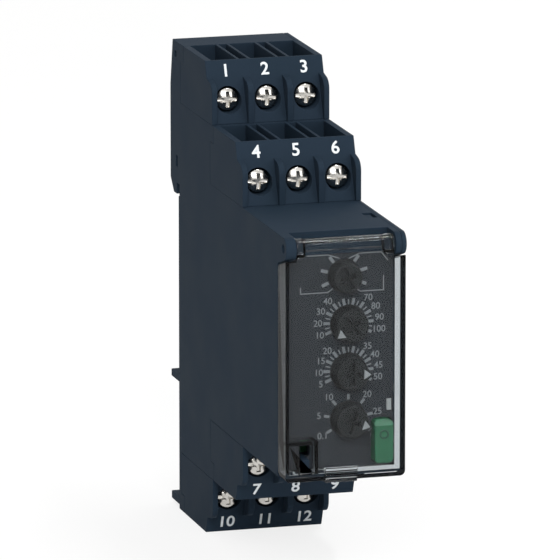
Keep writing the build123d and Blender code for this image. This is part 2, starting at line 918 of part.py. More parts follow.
def make_socket_body(x, z, size):
    """Square body on the front board with a round bore for a knob's stem."""
    body = box_between(
        (x - size / 2, x + size / 2), (board_face - pot_height, board_face), (z - size / 2, z + size / 2)
    )
    bore_diameter = stem_diameter + 2 * running_fit
    return body - rod_along_y(x, (board_face - pot_height, board_face - socket_floor), z, bore_diameter)


def make_relay(index):
    """Sealed output relay that stands on the lower board."""
    back = -relay_back - index * (relay_length + relay_gap)
    case = box_between(
        (-relay_width / 2, relay_width / 2),
        (back - relay_length, back),
        (-board_z, -board_z + relay_height),
    )
    edges = case.edges().filter_by(Axis.Z) + case.edges().group_by(Axis.Z)[-1]
    return fillet(edges, relay_edge)


def make_transformer():
    """Ferrite core of two E halves and its winding, hung under the upper board."""
    centre_y = -transformer_back - core_length / 2
    low = board_z - core_height
    core = box_between(
        (-core_width / 2, core_width / 2),
        (centre_y - core_length / 2, centre_y + core_length / 2),
        (low, board_z),
    )
    window = core_length / 2 - core_leg
    for side in (1, -1):
        middle = centre_y + side * (core_leg + window) / 2
        core -= box_between(
            (-core_width, core_width),
            (middle - window / 2, middle + window / 2),
            (low + core_leg / 2, board_z - core_leg / 2),
        )
    winding = box_between(
        (-winding_width / 2, winding_width / 2),
        (centre_y - core_leg / 2 - window + fit, centre_y + core_leg / 2 + window - fit),
        (low + core_leg / 2 + fit, board_z - core_leg / 2 - fit),
    )
    winding = fillet(winding.edges().filter_by(Axis.Z), window / 2)
    winding -= box_between(
        (-core_width / 2, core_width / 2),
        (centre_y - core_leg / 2, centre_y + core_leg / 2),
        (low, board_z),
    )
    return core, winding


def make_capacitors():
    """Two round capacitors that hang from the upper board."""
    can = Cylinder(capacitor_diameter / 2, capacitor_length)
    can = chamfer(can.edges().filter_by(GeomType.CIRCLE).group_by(Axis.Z)[0], capacitor_edge)
    middle_y = -capacitor_back - capacitor_diameter / 2
    middle_z = board_z - capacitor_length / 2
    cans = [Pos(side * capacitor_spread, middle_y, middle_z) * can for side in (1, -1)]
    return Compound(children=cans)


def make_film_capacitor():
    """Box capacitor across the supply, under the upper board."""
    case = box_between(
        (film_x - film_width / 2, film_x + film_width / 2),
        (-film_back - film_length, -film_back),
        (board_z - film_height, board_z),
    )
    return chamfer(case.edges().group_by(Axis.Z)[0], film_edge)


def make_varistor():
    """Coated disc that stands across the supply, under the upper board."""
    disc = rod_along_x(
        (varistor_x - varistor_thickness / 2, varistor_x + varistor_thickness / 2),
        -varistor_back,
        board_z - varistor_diameter / 2 - varistor_gap,
        varistor_diameter,
    )
    disc = fillet(disc.edges().filter_by(GeomType.CIRCLE), varistor_edge)
    foot = Pos(varistor_x, -varistor_back, board_z - varistor_foot[2] / 2) * Box(*varistor_foot)
    return disc + foot


def make_headers():
    """Two pin strips that join the upright board to the boards above and below the middle."""
    strips = []
    for side in (1, -1):
        strip = box_between(
            (-header_length / 2, header_length / 2),
            (-front_board_reach, -front_board_reach + header_size),
            (board_z - header_size, board_z),
        )
        strips.append(on_side(strip, side))
    return Compound(children=strips)


def make_light_pipe():
    """Clear bar that carries the indicator's light from the upright board to the panel."""
    y_range = (-nose_reach, board_face - led_height - led_gap)
    return box_between((pipe_left, pipe_right), y_range, (pipe_bottom, pipe_top))


def make_led():
    """Indicator on the upright board, behind the light pipe."""
    z_range = (pipe_bottom + led_inset, pipe_top - led_inset)
    return box_between((pipe_left, pipe_right), (board_face - led_height, board_face), z_range)


def make_tact_switch():
    """Square switch on the upright board, with a round nub that the test button presses."""
    half_size = tact_size / 2
    body = box_between(
        (button_x - half_size, button_x + half_size),
        (board_face - tact_height, board_face),
        (button_z - half_size, button_z + half_size),
    )
    nub_range = (tact_front, board_face - tact_height)
    return body + rod_along_y(button_x, nub_range, button_z, plunger_diameter)


def make_microcontroller():
    """Square chip on the back of the upright board."""
    half_size = chip_size / 2
    y_range = (-front_board_reach, -front_board_reach + chip_thickness)
    return box_between((-half_size, half_size), y_range, (-half_size, half_size))


def write(name, shape):
    """Write one named piece."""
    export_step(shape, f"parts/{name}.step")


write("housing", make_housing())
write("side_cover", make_side_cover())
write("front_panel", make_front_panel())
write("front_cover", make_front_cover())
write("din_clip", make_din_clip())
write("clip_spring", make_clip_spring())

steps = (("upper_rear", 0, 1), ("upper_front", 1, 1), ("lower_front", 1, -1), ("lower_rear", 0, -1))
block = make_terminal_block()
number = 0
for step_name, row, side in steps:
    place = step_location(row)
    write(f"{step_name}_block", on_side(place * block, side))
    bars = [on_side(place * make_contact(pole_x, row), side) for pole_x in pole_places]
    write(f"{step_name}_contacts", Compound(children=bars))
    for pole_x in pole_places:
        number += 1
        write(f"terminal_screw_{number}", on_side(place * make_screw(pole_x), side))
        write(f"clamp_cage_{number}", on_side(place * make_cage(pole_x), side))

write("selector_knob", make_knob(selector_x, selector_z, selector_diameter, selector_pointer))
for name, height in knob_heights.items():
    write(name, make_knob(knob_x, height, knob_diameter, knob_pointers[name], beak_reach))
write("test_button", make_test_button())
write("light_pipe", make_light_pipe())
write("indicator_led", make_led())
write("selector_switch", make_socket_body(selector_x, selector_z, switch_size))
pots = [make_socket_body(knob_x, height, pot_size) for height in knob_heights.values()]
write("potentiometers", Compound(children=pots))
write("tact_switch", make_tact_switch())

write("front_board", make_front_board())
write("supply_board", make_board(1))
write("relay_board", make_board(-1))
for index in range(2):
    write(f"output_relay_{index + 1}", make_relay(index))
core, winding = make_transformer()
write("transformer_core", core)
write("transformer_winding", winding)
write("electrolytic_capacitors", make_capacitors())
write("film_capacitor", make_film_capacitor())
write("varistor", make_varistor())
write("microcontroller", make_microcontroller())
write("board_headers", make_headers())
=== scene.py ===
from math import cos, pi, radians, sin, sqrt, tan

import bpy
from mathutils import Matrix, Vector


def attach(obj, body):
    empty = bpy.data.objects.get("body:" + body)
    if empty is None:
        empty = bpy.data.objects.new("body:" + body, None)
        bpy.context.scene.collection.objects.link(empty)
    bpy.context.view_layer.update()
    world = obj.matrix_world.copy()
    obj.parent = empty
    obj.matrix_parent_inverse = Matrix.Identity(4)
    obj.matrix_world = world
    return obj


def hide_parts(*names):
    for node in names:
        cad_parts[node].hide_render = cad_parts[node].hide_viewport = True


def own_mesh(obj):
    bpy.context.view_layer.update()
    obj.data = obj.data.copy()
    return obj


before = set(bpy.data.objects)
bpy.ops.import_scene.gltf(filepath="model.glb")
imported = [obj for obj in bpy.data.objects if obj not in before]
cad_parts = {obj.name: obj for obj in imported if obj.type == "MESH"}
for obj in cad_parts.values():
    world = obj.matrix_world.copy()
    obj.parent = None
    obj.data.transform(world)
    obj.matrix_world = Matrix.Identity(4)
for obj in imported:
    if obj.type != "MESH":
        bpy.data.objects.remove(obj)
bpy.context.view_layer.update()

# Viewpoint
# A long lens about one and a half metres away, a little to the left of the relay and above it.
mm = 0.001
camera_place = Vector((-388.14, -1393.44, 318.89)) * mm
camera_pitch = 12.48
camera_yaw = 15.89
camera_lens = 506.2

bpy.ops.object.select_all(action="DESELECT")
bpy.ops.object.camera_add(
    location=camera_place, rotation=(radians(90 - camera_pitch), 0, radians(-camera_yaw))
)
camera = bpy.context.object
camera.data.sensor_width = 36
camera.data.lens = camera_lens
camera.data.clip_start = 0.1
camera.data.clip_end = 10
bpy.context.scene.camera = camera

# Housing
# The main moulding: left wall, back with the rail lip and shelves, top, bottom and front frame.
# Injection moulded in one piece from dark blue-grey polyamide, with small radii on all its edges.
body_edge = 0.14
smooth_angle = 32
drift_size = 9


def linear(colour):
    """Linear RGBA of an sRGB colour written as a hex number."""
    channels = [int(colour[index:index + 2], 16) / 255 for index in (1, 3, 5)]
    return (*[c / 12.92 if c <= 0.04045 else ((c + 0.055) / 1.055) ** 2.4 for c in channels], 1)


def add_node(tree, kind, settings=None, links=None):
    """Add a shader node, set its properties and inputs, and link its inputs to other nodes' outputs."""
    node = tree.nodes.new("ShaderNode" + kind)
    for name, value in (settings or {}).items():
        if hasattr(node, str(name)):
            setattr(node, name, value)
        else:
            node.inputs[name].default_value = value
    for name, (source, output) in (links or {}).items():
        tree.links.new(source.outputs[output], node.inputs[name])
    return node


def work_on(*pieces):
    """Select only these pieces and make the last one active."""
    bpy.ops.object.select_all(action="DESELECT")
    for piece in pieces:
        piece.select_set(True)
    bpy.context.view_layer.objects.active = pieces[-1]


def soften(piece, width, angle=smooth_angle, segments=2):
    """Round the sharp edges of a piece by width in millimetres, with its flat faces shaded flat."""
    work_on(piece)
    bevel = piece.modifiers.new("edges", "BEVEL")
    bevel.width = width * mm
    bevel.segments = segments
    bevel.limit_method = "ANGLE"
    bevel.angle_limit = radians(angle)
    bevel.use_clamp_overlap = False
    bpy.ops.object.modifier_apply(modifier=bevel.name)
    bpy.ops.object.shade_smooth_by_angle(angle=radians(angle))
    normals = piece.modifiers.new("normals", "WEIGHTED_NORMAL")
    normals.weight = 100
    normals.keep_sharp = True
    bpy.ops.object.modifier_apply(modifier=normals.name)


def dressed_copy(node, name, edge):
    """A second mesh of a part's solid, merged to one skin, with its sharp edges rounded."""
    piece = bpy.data.objects.new(name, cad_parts[node].data.copy())
    bpy.context.scene.collection.objects.link(piece)
    work_on(piece)
    bpy.ops.object.mode_set(mode="EDIT")
    bpy.ops.mesh.customdata_custom_splitnormals_clear()
    bpy.ops.mesh.select_all(action="SELECT")
    bpy.ops.mesh.remove_doubles(threshold=0.002 * mm)
    bpy.ops.mesh.dissolve_limited(angle_limit=radians(0.5))
    bpy.ops.object.mode_set(mode="OBJECT")
    soften(piece, edge)
    return piece


def finish_piece(piece, material, body, slot, *nodes):
    """Give a piece its material and the body that it moves with, and hide the solids that it stands for.
    The slot argument is not used.
    """
    piece.data.materials.clear()
    piece.data.materials.append(material)
    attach(piece, body)
    if nodes:
        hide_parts(*nodes)


def moulded_plastic(name, colour, lighter, roughness, grain, grain_depth):
    """Moulded plastic: slow drifts of shade and gloss, and the fine grain of a spark-eroded mould."""
    material = bpy.data.materials.new(name)
    material.use_nodes = True
    tree = material.node_tree
    shader = tree.nodes["Principled BSDF"]
    place = add_node(tree, "TexCoord")
    drift = add_node(
        tree, "TexNoise", {"Scale": 1 / (drift_size * mm), "Detail": 3.0}, {"Vector": (place, "Object")}
    )
    shade = add_node(tree, "ValToRGB", {}, {"Fac": (drift, "Fac")})
    shade.color_ramp.elements[0].position = 0.3
    shade.color_ramp.elements[0].color = linear(colour)
    shade.color_ramp.elements[1].position = 0.75
    shade.color_ramp.elements[1].color = linear(lighter)
    tree.links.new(shade.outputs["Color"], shader.inputs["Base Color"])
    gloss = add_node(
        tree,
        "MapRange",
        {"From Min": 0.3, "From Max": 0.7, "To Min": roughness - 0.04, "To Max": roughness + 0.05},
        {"Value": (drift, "Fac")},
    )
    tree.links.new(gloss.outputs["Result"], shader.inputs["Roughness"])
    pits = add_node(
        tree, "TexNoise", {"Scale": 1 / (grain * mm), "Detail": 2.0}, {"Vector": (place, "Object")}
    )
    bump = add_node(
        tree, "Bump", {"Strength": 1.0, "Distance": grain_depth * mm}, {"Height": (pits, "Fac")}
    )
    tree.links.new(bump.outputs["Normal"], shader.inputs["Normal"])
    shader.inputs["IOR"].default_value = 1.5
    return material, shader


# Flame-retardant polyamide off a spark-eroded mould: an even dark blue-grey with a matt, dry gloss.
# The real grain is about 0.1 mm; it is drawn at 0.3 mm so that it shows.
body_polyamide, shader = moulded_plastic("moulded_polyamide", "#1c2833", "#202b37", 0.7, 0.3, 0.006)
shader.inputs["Specular IOR Level"].default_value = 0.05

housing = dressed_copy("housing", "housing_shell", body_edge)
finish_piece(housing, body_polyamide, "base", "body_plastic", "housing")

# Boards and their parts
# Three boards of green glass-epoxy laminate carry the output relays, the supply parts and the
# controls. All of them are closed in by the housing, and each has the finish of its real material.


def coated(name, colour, lighter, roughness, metallic=0.0, scale=4.0, bump_depth=0.004):
    """Plain coated or plated surface, with a fine mottle in its shade and a slight unevenness."""
    material = bpy.data.materials.new(name)
    material.use_nodes = True
    tree = material.node_tree
    shader = tree.nodes["Principled BSDF"]
    place = add_node(tree, "TexCoord")
    mottle = add_node(
        tree, "TexNoise", {"Scale": 1 / (scale * mm), "Detail": 5.0}, {"Vector": (place, "Object")}
    )
    shade = add_node(tree, "ValToRGB", {}, {"Fac": (mottle, "Fac")})
    shade.color_ramp.elements[0].position = 0.3
    shade.color_ramp.elements[0].color = linear(colour)
    shade.color_ramp.elements[1].position = 0.7
    shade.color_ramp.elements[1].color = linear(lighter)
    tree.links.new(shade.outputs["Color"], shader.inputs["Base Color"])
    gloss = add_node(
        tree,
        "MapRange",
        {"From Min": 0.3, "From Max": 0.7, "To Min": roughness * 0.85, "To Max": roughness * 1.2},
        {"Value": (mottle, "Fac")},
    )
    tree.links.new(gloss.outputs["Result"], shader.inputs["Roughness"])
    bump = add_node(
        tree, "Bump", {"Strength": 0.6, "Distance": bump_depth * mm}, {"Height": (mottle, "Fac")}
    )
    tree.links.new(bump.outputs["Normal"], shader.inputs["Normal"])
    shader.inputs["Metallic"].default_value = metallic
    return material, shader


# Solder-mask green over woven glass, a little glossy.
laminate, _ = coated("glass_epoxy_laminate", "#1f5a38", "#2a6b44", 0.35, scale=1.2)
# Black epoxy and glass-filled polyester of chips, sockets and switches.
part_resin, _ = coated("moulded_epoxy", "#1d1e20", "#26272a", 0.5, scale=0.8)
# Orange-yellow polyester of sealed relays.
relay_polyester, _ = coated("relay_case_polyester", "#b98a2e", "#c4953a", 0.4, scale=5.0)
# Sintered ferrite: dark grey and finely granular.
sintered_ferrite, _ = coated("sintered_ferrite", "#33353a", "#404247", 0.7, scale=0.6, bump_depth=0.01)
# Enamelled copper wire, in turns 0.4 mm apart.
enamelled_copper, _ = coated("enamelled_copper", "#8a4a24", "#a85f33", 0.35, metallic=0.8, scale=0.4)
# Aluminium can in a dark printed sleeve.
capacitor_sleeve, _ = coated("capacitor_sleeve", "#2a3550", "#31405f", 0.3, scale=3.0)
# Blue epoxy powder coat of a varistor disc.
varistor_epoxy, _ = coated("varistor_epoxy", "#2b4f9a", "#3460ac", 0.35, scale=1.5, bump_depth=0.01)
# Flame-retardant polyester box of a film capacitor.
film_polyester, _ = coated("film_capacitor_case", "#9aa0a3", "#a8adaf", 0.4, scale=4.0)
# Tin-plated copper of the contact bars.
tinned_copper, _ = coated("tin_plated_copper", "#b4b1aa", "#c6c3bc", 0.32, metallic=1.0, scale=1.0)

inner_finishes = {
    "front_board": laminate,
    "supply_board": laminate,
    "relay_board": laminate,
    "board_headers": part_resin,
    "microcontroller": part_resin,
    "selector_switch": part_resin,
    "potentiometers": part_resin,
    "tact_switch": part_resin,
    "indicator_led": film_polyester,
    "output_relay_1": relay_polyester,
    "output_relay_2": relay_polyester,
    "transformer_core": sintered_ferrite,
    "transformer_winding": enamelled_copper,
    "electrolytic_capacitors": capacitor_sleeve,
    "film_capacitor": film_polyester,
    "varistor": varistor_epoxy,
    "upper_rear_contacts": tinned_copper,
    "upper_front_contacts": tinned_copper,
    "lower_front_contacts": tinned_copper,
    "lower_rear_contacts": tinned_copper,
}
for node, finish in inner_finishes.items():
    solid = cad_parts[node]
    solid.data.materials.clear()
    solid.data.materials.append(finish)

# Side cover
# The right-hand wall: a flat moulding of the same polyamide that closes the housing and hooks
# into the top and bottom of its nose.
side_cover = dressed_copy("side_cover", "side_cover_shell", body_edge)
finish_piece(side_cover, body_polyamide, "base", "body_plastic", "side_cover")

# Terminal blocks
# Four blocks of the same polyamide, each with three screw terminals, stand on the housing's steps.
# Ribs part the screws, and the top of each block is cored out in pockets.
blocks = ("upper_rear", "upper_front", "lower_front", "lower_rear")
for block in blocks:
    piece = dressed_copy(f"{block}_block", f"{block}_terminals", body_edge)
    finish_piece(piece, body_polyamide, "base", "body_plastic", f"{block}_block")

# Clamp cages
# Rising cages of folded steel strip, zinc plated, that the screws pull up on the wire.
# Zinc plating: a cool grey with a faint cloudy mottle.
zinc_plate, _ = coated("zinc_plated_steel", "#9ea2a4", "#b6babb", 0.34, metallic=1.0, scale=2.0)
for number in range(1, 13):
    cage = dressed_copy(f"clamp_cage_{number}", f"wire_cage_{number}", 0.1)
    finish_piece(cage, zinc_plate, f"cage_{number}", "zinc_steel", f"clamp_cage_{number}")

# Terminal screws
# Clamp screws of nickel-plated steel, cold headed with a domed head, a cross recess and a wider
# driver slot, and a rolled thread. One is modelled and the rest are copies.
pole_places = (-7.5, 0, 7.5)
screw_drop = 7.05
face_lean = 22.0
screw_sink = 1.9
head_diameter = 4.2
head_height = 1.6
head_dome = 0.8
shank_end = 9.9
shank_diameter = 3.0
thread_pitch = 0.5
thread_height = 0.2
slot_length = 3.7
cross_length = 2.9
recess_width = 0.7
recess_floor = -0.2
tip_chamfer = 0.3
crest_radius = 0.22
plain_tip = 0.5
plain_neck = 0.4
dome_rings = (1.98, 1.8, 1.55, 1.25, 0.9, 0.5, 0.15)
first_edge = (-18.9, 44.8)
second_edge = (-39.7, 33.6)
rows = ((first_edge, 1), (second_edge, 1), (second_edge, -1), (first_edge, -1))


def face_points(drop):
    """The places of the twelve terminals on the leaning faces, at a drop below each block's edge."""
    return [
        (pole_x, edge_y - drop * tan(radians(face_lean)), half * (edge_z - drop), half)
        for (edge_y, edge_z), half in rows
        for pole_x in pole_places
    ]


def screw_template():
    """One screw with its axis on Z, its head upwards and the head's rim at Z = 0."""
    radius = head_diameter / 2
    bpy.ops.object.select_all(action="DESELECT")
    bpy.ops.mesh.primitive_cylinder_add(
        vertices=64, radius=radius * mm, depth=head_height * mm, location=(0, 0, -head_height / 2 * mm)
    )
    screw = bpy.context.object
    bpy.ops.object.mode_set(mode="EDIT")
    bpy.ops.mesh.select_all(action="DESELECT")
    bpy.ops.object.mode_set(mode="OBJECT")
    cap = max(screw.data.polygons, key=lambda face: face.center.z)
    cap.select = True
    bpy.ops.object.mode_set(mode="EDIT")
    sphere = (radius**2 + head_dome**2) / (2 * head_dome)
    reached, height = radius, 0.0
    for ring in dome_rings:
        rise = sqrt(sphere**2 - ring**2) - (sphere - head_dome)
        bpy.ops.mesh.inset(thickness=(reached - ring) * mm)
        bpy.ops.transform.translate(value=(0, 0, (rise - height) * mm))
        reached, height = ring, rise
    bpy.ops.mesh.select_all(action="DESELECT")
    bpy.ops.object.mode_set(mode="OBJECT")
    foot = min(screw.data.polygons, key=lambda face: face.center.z)
    foot.select = True
    bpy.ops.object.mode_set(mode="EDIT")
    core = shank_diameter / 2 - thread_height
    bpy.ops.mesh.inset(thickness=(radius - core) * mm)
    shank_length = shank_end - screw_sink - head_height
    for length in (shank_length - tip_chamfer, tip_chamfer):
        bpy.ops.mesh.extrude_region_move(TRANSFORM_OT_translate={"value": (0, 0, -length * mm)})
    bpy.ops.mesh.inset(thickness=tip_chamfer * mm)
    bpy.ops.object.mode_set(mode="OBJECT")
    for length, turn in ((slot_length, 0), (cross_length, pi / 2)):
        bpy.ops.object.select_all(action="DESELECT")
        bpy.ops.mesh.primitive_cube_add(
            size=mm, location=(0, 0, (recess_floor + 1) * mm), rotation=(0, 0, turn),
            scale=(length, recess_width, 2),
        )
        tool = bpy.context.object
        cut = screw.modifiers.new("recess", "BOOLEAN")
        cut.object = tool
        cut.solver = "EXACT"
        work_on(screw)
        bpy.ops.object.modifier_apply(modifier=cut.name)
        bpy.data.objects.remove(tool)
    soften(screw, 0.07, 30)
    bpy.ops.object.select_all(action="DESELECT")
    bpy.ops.mesh.primitive_circle_add(
        vertices=3, radius=crest_radius * mm, location=(core * mm, 0, 0)
    )
    thread = bpy.context.object
    thread.rotation_euler = (pi / 2, 0, 0)
    bpy.ops.object.transform_apply(location=True, rotation=True, scale=True)
    turns = int((shank_length - plain_tip - plain_neck) / thread_pitch)
    helix = thread.modifiers.new("thread", "SCREW")
    helix.axis = "Z"
    helix.screw_offset = thread_pitch * mm
    helix.iterations = turns
    helix.steps = 28
    helix.render_steps = 28
    bpy.ops.object.modifier_apply(modifier=helix.name)
    bpy.ops.object.mode_set(mode="EDIT")
    bpy.ops.mesh.select_all(action="SELECT")
    bpy.ops.mesh.remove_doubles(threshold=0.001 * mm)
    bpy.ops.mesh.select_all(action="DESELECT")
    bpy.ops.mesh.select_non_manifold()
    bpy.ops.mesh.edge_face_add()
    bpy.ops.mesh.select_all(action="SELECT")
    bpy.ops.mesh.normals_make_consistent(inside=False)
    bpy.ops.transform.translate(value=(0, 0, -(head_height + shank_length - plain_tip) * mm))
    bpy.ops.object.mode_set(mode="OBJECT")
    work_on(thread, screw)
    bpy.ops.object.join()
    return screw


# Bright nickel plate: a warm white metal, with a faint unevenness in its gloss from barrel plating.
nickel_plate, _ = coated("nickel_plated_steel", "#bdbab4", "#cfccc7", 0.2, metallic=1.0, scale=0.9)
template = screw_template()
for number, (pole_x, face_y, z, _) in enumerate(face_points(screw_drop), 1):
    screw = bpy.data.objects.new(f"clamp_screw_{number}", template.data.copy())
    bpy.context.scene.collection.objects.link(screw)
    work_on(screw)
    screw.rotation_euler = (pi / 2, 0, 0)
    screw.location = Vector((pole_x, face_y + screw_sink, z)) * mm
    bpy.ops.object.transform_apply(location=True, rotation=True, scale=True)
    finish_piece(screw, nickel_plate, f"screw_{number}", "nickel_steel", f"terminal_screw_{number}")
bpy.data.objects.remove(template)

# Terminal numbers
# Plain numbers from 1 to 12, pad printed in pale grey above or below each screw.
number_height = 2.3
digit_share = 0.7
number_weight = 0.06
number_drop = 1.95
print_thickness = 0.015


def printed_text(words, size, place, lean, bolder):
    """A line of print, as a thin raised mesh centred on a place, facing forwards and leaning back."""
    bpy.ops.object.select_all(action="DESELECT")
    bpy.ops.object.text_add(location=(0, 0, 0))
    text = bpy.context.object
    text.data.body = words
    text.data.size = size * mm
    text.data.offset = bolder * mm
    text.data.extrude = print_thickness * mm
    text.data.resolution_u = 6
    text.data.align_x = "CENTER"
    text.data.align_y = "CENTER"
    bpy.ops.object.convert(target="MESH")
    text = bpy.context.object
    text.rotation_euler = (radians(90 - lean), 0, 0)
    text.location = Vector(place) * mm
    bpy.ops.object.transform_apply(location=True, rotation=True, scale=True)
    return text


def one_piece(parts, name):
    """Join several meshes into one named piece."""
    work_on(*parts)
    if len(parts) > 1:
        bpy.ops.object.join()
    joined = bpy.context.object
    joined.name = name
    joined.data.name = name
    return joined


# Pad-printing ink: a thin matt layer, slightly uneven where the pad has pressed it.
pale_ink, _ = coated("pad_printed_ink", "#c6cbce", "#d3d8da", 0.6, scale=0.6, bump_depth=0.002)
numbers = [
    printed_text(
        str(number), number_height / digit_share, (pole_x, face_y, z), half * face_lean, number_weight
    )
    for number, (pole_x, face_y, z, half) in enumerate(face_points(number_drop), 1)
]
terminal_numbers = one_piece(numbers, "terminal_numbers")
finish_piece(terminal_numbers, pale_ink, "base", "body_plastic")

# Front panel
# A flat plate of dark grey polycarbonate blend, snapped into the housing's front frame.
# Finer and a little smoother than the housing, with a neutral dark grey.
panel_blend, shader = moulded_plastic(
    "panel_polycarbonate_blend", "#2b2d31", "#2e3034", 0.6, 0.25, 0.0015
)
shader.inputs["Specular IOR Level"].default_value = 0.05
panel = dressed_copy("front_panel", "control_panel", 0.06)
finish_piece(panel, panel_blend, "base", "panel_plastic", "front_panel")

# Scales on the panel
# Screen-printed marks round the four controls, thin grey lines and plain numbers.
panel_face = -67.9
knob_x = 1.9
knob_heights = {"upper": 5.2, "middle": -3.65, "lower": -12.5}
selector_x = 1.05
selector_z = 14.05
scale_start = 157.5
scale_step = 25.0
figure_size = 1.7
figure_weight = 0.02


def bar(x, z, length, width, turn):
    """Add one printed bar to the mesh in edit mode, centred at X and Z and turned clockwise."""
    bpy.ops.mesh.primitive_cube_add(
        size=mm,
        location=Vector((x, panel_face, z)) * mm,
        rotation=(0, radians(turn), 0),
        scale=(length, 2 * print_thickness, width),
    )


def ray(x, z, inner, outer, width, turn):
    """Add a printed bar that points away from X and Z, from an inner to an outer radius."""
    middle = (inner + outer) / 2
    bar(
        x + middle * cos(radians(turn)), z - middle * sin(radians(turn)), outer - inner, width, turn
    )


scale_marks = bpy.data.objects.new("scale_marks", bpy.data.meshes.new("scale_marks"))
bpy.context.scene.collection.objects.link(scale_marks)
work_on(scale_marks)
bpy.ops.object.mode_set(mode="EDIT")
for knob in ("upper", "middle"):
    for index in range(10):
        angle = scale_start + scale_step * index
        ray(knob_x, knob_heights[knob], 3.45, 4.7, 0.55, angle)
        if index < 9:
            ray(knob_x, knob_heights[knob], 3.55, 4.45, 0.24, angle + scale_step / 2)
for index in range(7):
    ray(knob_x, knob_heights["lower"], 3.6, 4.65, 0.52, 150 + 40 * index)
for angle in (157.5, 195, 232.5, 307.5, 345, 382.5):
    ray(selector_x, selector_z, 3.1, 4.5, 0.6, angle)
brackets = (
    ((-5.8, 18.0), (-1.95, 18.0), (0.1, 17.3)),
    ((-7.1, 12.2), (-7.1, 11.1), (-2.05, 11.1), (-1.1, 11.75)),
    ((2.05, 17.2), (3.95, 18.0), (8.0, 18.0), (9.2, 16.5)),
    ((8.45, 13.6), (8.45, 11.0), (4.15, 11.0), (3.2, 11.6)),
)
line_width = 0.2
for corners in brackets:
    for (x0, z0), (x1, z1) in zip(corners, corners[1:]):
        run = Vector((x1 - x0, z1 - z0))
        turn = -run.angle_signed(Vector((1, 0)))
        bar((x0 + x1) / 2, (z0 + z1) / 2, run.length + line_width, line_width, turn * 180 / pi)
bpy.ops.object.mode_set(mode="OBJECT")
# Screen-printing ink: an even, matt mid grey, with the faint mottle of the screen.
grey_ink, _ = coated("screen_printed_ink", "#6c6e71", "#747679", 0.6, scale=0.5, bump_depth=0.002)
finish_piece(scale_marks, grey_ink, "base", "panel_plastic")

figures = []
for knob, values, start, step, radius in (
    ("upper", ["10", "20", "30", "40"], 160.0, 22.5, 5.75),
    ("upper", ["70", "80", "90", "100"], 309.0, 21.5, 5.85),
    ("middle", ["5", "10", "15", "20"], 157.5, 22.5, 5.6),
    ("middle", ["35", "40", "45", "50"], 309.0, 21.5, 5.7),
    ("lower", ["0.1", "5", "10", "", "20", "25", "30"], 149.0, 40.0, 5.6),
):
    for index, words in enumerate(values):
        if not words:
            continue
        angle = radians(start + step * index)
        place = (knob_x + radius * cos(angle), panel_face, knob_heights[knob] - radius * sin(angle))
        figures.append(printed_text(words, figure_size, place, 0, figure_weight))
scale_numbers = one_piece(figures, "scale_numbers")
finish_piece(scale_numbers, grey_ink, "base", "panel_plastic")

# Setting knobs
# The selector and three setting knobs are small discs of black polyamide with a cross slot for a
# screwdriver. The setting knobs have a sunk triangle, filled with pale paint, that points at the scale.
knob_polyamide, shader = moulded_plastic("knob_polyamide", "#1d1e1f", "#202122", 0.55, 0.22, 0.0015)
shader.inputs["Specular IOR Level"].default_value = 0.15
knob_front = -70.9
mark_depth = 0.3
paint_thickness = 0.25
mark_length = 1.35
mark_width = 1.85
mark_tip = 3.49
mark_radius = mark_tip - mark_length * 2 / 3
pointers = {"upper": 145.0, "middle": 3.0, "lower": 18.0}
selector = dressed_copy("selector_knob", "mode_knob", 0.07)
finish_piece(selector, knob_polyamide, "selector", "knob_plastic", "selector_knob")
# Filling paint: pale grey and flat, a hair below the face of the knob.
pointer_paint, _ = coated("pointer_paint", "#808283", "#8a8c8d", 0.55, scale=0.7, bump_depth=0.004)
for knob, height in knob_heights.items():
    piece = dressed_copy(f"{knob}_knob", f"{knob}_dial", 0.07)
    finish_piece(piece, knob_polyamide, f"{knob}_setting", "knob_plastic", f"{knob}_knob")
    angle = radians(pointers[knob])
    bpy.ops.object.select_all(action="DESELECT")
    bpy.ops.mesh.primitive_cylinder_add(
        vertices=3, radius=mark_length * 2 / 3 * mm, depth=paint_thickness * mm, rotation=(pi / 2, 0, 0)
    )
    mark = bpy.context.object
    mark.name = f"{knob}_pointer"
    mark.data.name = mark.name
    bpy.ops.object.transform_apply(location=True, rotation=True, scale=True)
    mark.scale = (mark_width / (mark_length * 2 / sqrt(3)), 1, 1)
    bpy.ops.object.transform_apply(location=True, rotation=True, scale=True)
    mark.rotation_euler = (0, angle + radians(90), 0)
    mark.location = Vector(
        (
            knob_x + mark_radius * cos(angle),
            knob_front + mark_depth - paint_thickness / 2,
            height - mark_radius * sin(angle),
        )
    ) * mm
    bpy.ops.object.transform_apply(location=True, rotation=True, scale=True)
    soften(mark, 0.05)
    finish_piece(mark, pointer_paint, f"{knob}_setting", "knob_plastic")

# Test button
# A green push button moulded in acrylic-styrene plastic, smooth with a soft gloss.
button_green, _ = moulded_plastic("button_styrene_plastic", "#145335", "#185a3b", 0.42, 0.3, 0.001)
button = dressed_copy("test_button", "test_key", 0.12)
finish_piece(button, button_green, "button", "button_plastic", "test_button")
ring_radius = 0.75
ring_line = 0.16
ring_flatness = 0.35
ring_place = (8.1, -69.9, -15.3)
bpy.ops.object.select_all(action="DESELECT")
bpy.ops.mesh.primitive_torus_add(
    major_radius=ring_radius * mm,
    minor_radius=ring_line * mm,
    major_segments=40,
    minor_segments=10,
    rotation=(pi / 2, 0, 0),
    location=Vector(ring_place) * mm,
)
ring = bpy.context.object
ring.name = "test_key_ring"
ring.data.name = ring.name
ring.scale = (1, 1, ring_flatness)
bpy.ops.object.transform_apply(location=True, rotation=True, scale=True)
bpy.ops.object.shade_smooth()
# Dark green filling paint in the button's ring.
ring_paint, _ = coated("button_ring_paint", "#143526", "#183b2b", 0.5, scale=0.5)
finish_piece(ring, ring_paint, "button", "button_plastic")

# Light pipe
# A small bar of clear milky plastic that carries the indicator's light to the panel.
pipe = dressed_copy("light_pipe", "indicator_window", 0.06)
